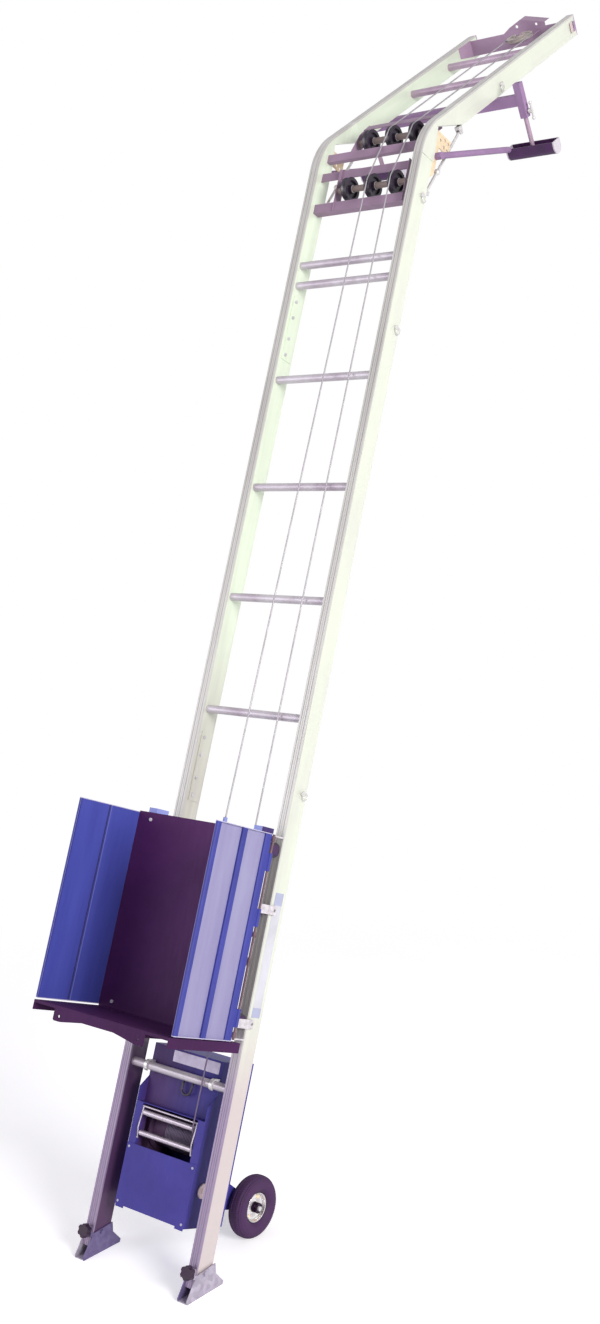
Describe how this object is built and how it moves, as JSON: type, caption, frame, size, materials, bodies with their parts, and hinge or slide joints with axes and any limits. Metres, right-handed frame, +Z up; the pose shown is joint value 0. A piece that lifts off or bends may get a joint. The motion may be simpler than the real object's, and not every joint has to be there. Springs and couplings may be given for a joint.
{
  "type": "material hoist",
  "caption": "Leaning ladder-track material hoist with a winch at its foot, a winged load carriage, a bent knee with rope sheaves, a head sheave, roof supports and transport wheels.",
  "frame": {"origin": "on the ground under the middle of the whole hoist", "axes": "+Z up, +X along the rungs to the right seen from the carriage side, +Y the way the track leans"},
  "size_m": [1.09, 3.1144, 5.4746],
  "materials": {
    "rail_aluminium": "drawn, satin",
    "zinc_steel": "galvanised, slightly mottled",
    "yellow_zinc": "yellow passivated zinc",
    "grey_steel": "satin grey paint",
    "blue_paint": "semi-gloss paint",
    "dark_paint": "matt dark paint",
    "black_plastic": "moulded, matt",
    "grey_plastic": "moulded, matt",
    "bright_steel": "polished",
    "rope_steel": "stranded wire",
    "tyre_rubber": "matt",
    "drive_casting": "cast, painted grey"
  },
  "bodies": {
    "base": {"left_base_rail": "rail_aluminium", "right_base_rail": "rail_aluminium", "left_middle_rail": "rail_aluminium", "right_middle_rail": "rail_aluminium", "left_knee_rail": "rail_aluminium", "right_knee_rail": "rail_aluminium", "left_head_rail": "rail_aluminium", "right_head_rail": "rail_aluminium", "track_rungs": "rail_aluminium", "head_rungs": "rail_aluminium", "splice_plates": "rail_aluminium", "splice_bolts": "zinc_steel", "ring_clips": "bright_steel", "rail_caps": "black_plastic", "head_plate": "grey_steel", "sheave_hood": "grey_plastic", "lower_sheave_cage": "grey_steel", "upper_sheave_cage": "grey_steel", "knee_gussets": "yellow_zinc", "knee_struts": "zinc_steel", "support_tube": "grey_steel", "support_posts": "zinc_steel", "support_stays": "grey_steel", "roof_pads": "grey_plastic", "drive_housing": "blue_paint", "front_cover": "blue_paint", "gear_motor": "drive_casting", "guide_frame": "bright_steel", "rung_hooks": "blue_paint", "hoist_rope": "rope_steel", "carriage_rope": "rope_steel", "wheel_frame": "blue_paint"},
    "carriage": {"carriage_frame": "dark_paint", "back_plate": "dark_paint", "floor_plate": "dark_paint"},
    "drum": {"rope_drum": "drive_casting", "rope_winding": "rope_steel"},
    "left_wheel": {"left_tyre": "tyre_rubber", "left_rim": "zinc_steel"},
    "right_wheel": {"right_tyre": "tyre_rubber", "right_rim": "zinc_steel"},
    "head_sheave": {"head_sheave": "black_plastic"},
    "lower_left_sheave": {"lower_left_sheave": "black_plastic"},
    "lower_middle_sheave": {"lower_middle_sheave": "black_plastic"},
    "lower_right_sheave": {"lower_right_sheave": "black_plastic"},
    "upper_left_sheave": {"upper_left_sheave": "black_plastic"},
    "upper_middle_sheave": {"upper_middle_sheave": "black_plastic"},
    "upper_right_sheave": {"upper_right_sheave": "black_plastic"},
    "left_clamp": {"left_clamp": "bright_steel"},
    "right_clamp": {"right_clamp": "bright_steel"},
    "upper_guide_roller": {"upper_guide_roller": "bright_steel"},
    "lower_guide_roller": {"lower_guide_roller": "bright_steel"},
    "left_foot": {"left_foot": "zinc_steel"},
    "right_foot": {"right_foot": "zinc_steel"},
    "left_knob": {"left_knob": "black_plastic"},
    "right_knob": {"right_knob": "black_plastic"},
    "upper_rollers": {"upper_rollers": "black_plastic"},
    "lower_rollers": {"lower_rollers": "black_plastic"},
    "left_wing": {"left_wing": "blue_paint"},
    "right_wing": {"right_wing": "blue_paint"}
  },
  "joints": [
    {"name": "carriage_slide", "type": "slide", "parent": "base", "child": "carriage", "axis": [0, 0.319, 0.9478], "range_m": [-0.4, 2.1], "deforming": ["carriage_rope"]},
    {"name": "right_wing_hinge", "type": "hinge", "parent": "carriage", "child": "right_wing", "pos_m": [0.367, -1.06374, 1.37718], "axis": [0, 0.319, 0.9478], "range_deg": [0, 90]},
    {"name": "left_wing_hinge", "type": "hinge", "parent": "carriage", "child": "left_wing", "pos_m": [-0.367, -1.06374, 1.37718], "axis": [0, -0.319, -0.9478], "range_deg": [0, 90]},
    {"name": "upper_roller_spin", "type": "hinge", "parent": "carriage", "child": "upper_rollers", "pos_m": [0, -0.84286, 1.6695], "axis": [1, 0, 0], "continuous": true},
    {"name": "lower_roller_spin", "type": "hinge", "parent": "carriage", "child": "lower_rollers", "pos_m": [0, -1.05976, 1.02502], "axis": [1, 0, 0], "continuous": true},
    {"name": "drum_spin", "type": "hinge", "parent": "base", "child": "drum", "pos_m": [0, -1.0592, 0.48145], "axis": [1, 0, 0], "continuous": true, "deforming": ["rope_winding"]},
    {"name": "head_sheave_spin", "type": "hinge", "parent": "base", "child": "head_sheave", "pos_m": [0.1025, 1.32375, 5.32812], "axis": [0, -0.5135, 0.8581], "continuous": true},
    {"name": "lower_left_sheave_spin", "type": "hinge", "parent": "base", "child": "lower_left_sheave", "pos_m": [-0.085, 0.17, 4.44121], "axis": [1, 0, 0], "continuous": true},
    {"name": "upper_left_sheave_spin", "type": "hinge", "parent": "base", "child": "upper_left_sheave", "pos_m": [-0.085, 0.33297, 4.67804], "axis": [1, 0, 0], "continuous": true},
    {"name": "lower_middle_sheave_spin", "type": "hinge", "parent": "base", "child": "lower_middle_sheave", "pos_m": [0.04, 0.17, 4.44121], "axis": [1, 0, 0], "continuous": true},
    {"name": "upper_middle_sheave_spin", "type": "hinge", "parent": "base", "child": "upper_middle_sheave", "pos_m": [0.04, 0.33297, 4.67804], "axis": [1, 0, 0], "continuous": true},
    {"name": "lower_right_sheave_spin", "type": "hinge", "parent": "base", "child": "lower_right_sheave", "pos_m": [0.165, 0.17, 4.44121], "axis": [1, 0, 0], "continuous": true},
    {"name": "upper_right_sheave_spin", "type": "hinge", "parent": "base", "child": "upper_right_sheave", "pos_m": [0.165, 0.33297, 4.67804], "axis": [1, 0, 0], "continuous": true},
    {"name": "upper_guide_spin", "type": "hinge", "parent": "base", "child": "upper_guide_roller", "pos_m": [0, -1.15222, 0.575], "axis": [1, 0, 0], "continuous": true},
    {"name": "lower_guide_spin", "type": "hinge", "parent": "base", "child": "lower_guide_roller", "pos_m": [0, -1.17806, 0.49823], "axis": [1, 0, 0], "continuous": true},
    {"name": "left_wheel_spin", "type": "hinge", "parent": "base", "child": "left_wheel", "pos_m": [-0.145, -0.81029, 0.13], "axis": [1, 0, 0], "continuous": true},
    {"name": "right_wheel_spin", "type": "hinge", "parent": "base", "child": "right_wheel", "pos_m": [0.145, -0.81029, 0.13], "axis": [1, 0, 0], "continuous": true},
    {"name": "left_foot_pivot", "type": "hinge", "parent": "base", "child": "left_foot", "pos_m": [-0.281, -1.29182, 0.08493], "axis": [1, 0, 0], "range_deg": [-15, 15]},
    {"name": "right_foot_pivot", "type": "hinge", "parent": "base", "child": "right_foot", "pos_m": [0.281, -1.29182, 0.08493], "axis": [1, 0, 0], "range_deg": [-15, 15]},
    {"name": "left_knob_turn", "type": "hinge", "parent": "left_foot", "child": "left_knob", "pos_m": [-0.281, -1.29182, 0.08493], "axis": [0, -0.9478, 0.319], "continuous": true},
    {"name": "right_knob_turn", "type": "hinge", "parent": "right_foot", "child": "right_knob", "pos_m": [0.281, -1.29182, 0.08493], "axis": [0, -0.9478, 0.319], "continuous": true},
    {"name": "left_clamp_turn", "type": "hinge", "parent": "base", "child": "left_clamp", "pos_m": [-0.438, 0.82911, 4.83046], "axis": [1, 0, 0], "continuous": true},
    {"name": "right_clamp_turn", "type": "hinge", "parent": "base", "child": "right_clamp", "pos_m": [0.438, 0.82911, 4.83046], "axis": [1, 0, 0], "continuous": true}
  ],
  "couplings": [
    {"joint": "drum_spin", "follows": "carriage_slide", "rad_per_m": 14.245},
    {"joint": "lower_right_sheave_spin", "follows": "carriage_slide", "rad_per_m": 20.408},
    {"joint": "upper_right_sheave_spin", "follows": "carriage_slide", "rad_per_m": 20.408},
    {"joint": "lower_middle_sheave_spin", "follows": "carriage_slide", "rad_per_m": -20.408},
    {"joint": "upper_middle_sheave_spin", "follows": "carriage_slide", "rad_per_m": -20.408},
    {"joint": "head_sheave_spin", "follows": "carriage_slide", "rad_per_m": -16},
    {"joint": "upper_guide_spin", "follows": "carriage_slide", "rad_per_m": 62.5},
    {"joint": "upper_roller_spin", "follows": "carriage_slide", "rad_per_m": -33.333},
    {"joint": "lower_roller_spin", "follows": "carriage_slide", "rad_per_m": -33.333}
  ]
}
